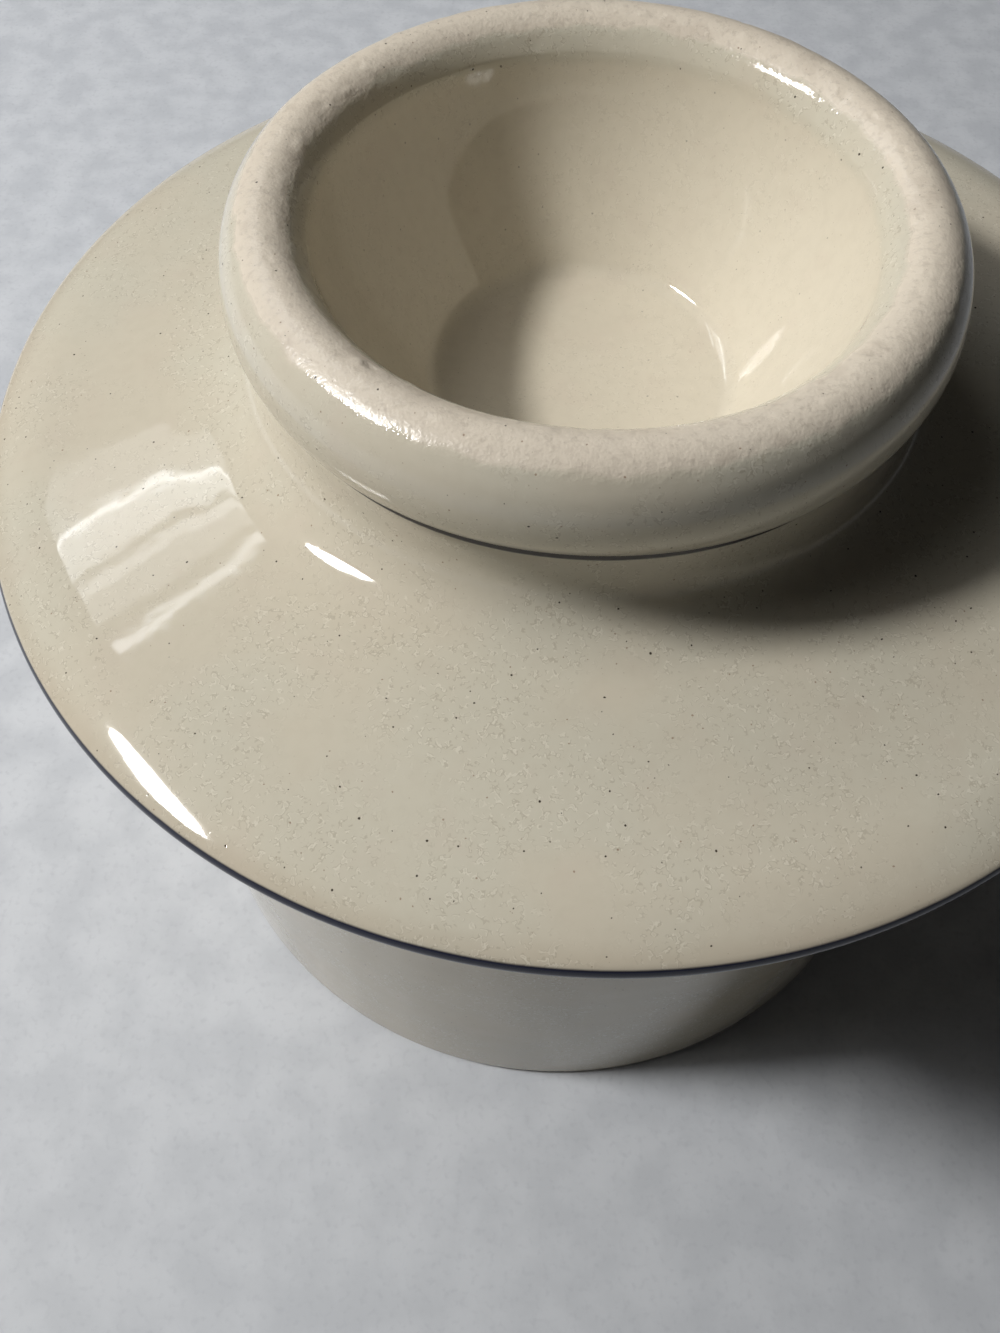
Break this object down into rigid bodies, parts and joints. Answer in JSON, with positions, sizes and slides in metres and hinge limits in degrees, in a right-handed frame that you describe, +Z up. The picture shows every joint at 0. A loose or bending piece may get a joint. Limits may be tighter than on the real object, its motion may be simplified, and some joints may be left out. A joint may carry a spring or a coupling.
{
  "type": "storage jar",
  "caption": "Round glazed stoneware storage jar with a loose brimmed lid whose knob is a hollow cup with a thick rolled rim.",
  "frame": {"origin": "centre of the foot, on the surface that the jar stands on", "axes": "+Z up along the axis that both pieces were turned on; -Y faces the picture's camera"},
  "size_m": [0.17, 0.17, 0.1407],
  "materials": {
    "speckled_glaze": "glossy cream glaze over stoneware, with sparse brown iron specks and faint tan flecks"
  },
  "bodies": {
    "jar": {"jar": "speckled_glaze"},
    "lid": {"lid": "speckled_glaze"}
  },
  "joints": [
    {"name": "lid_lift", "type": "slide", "parent": "jar", "child": "lid", "axis": [0, 0, 1], "range_m": [0, 0.12]}
  ]
}
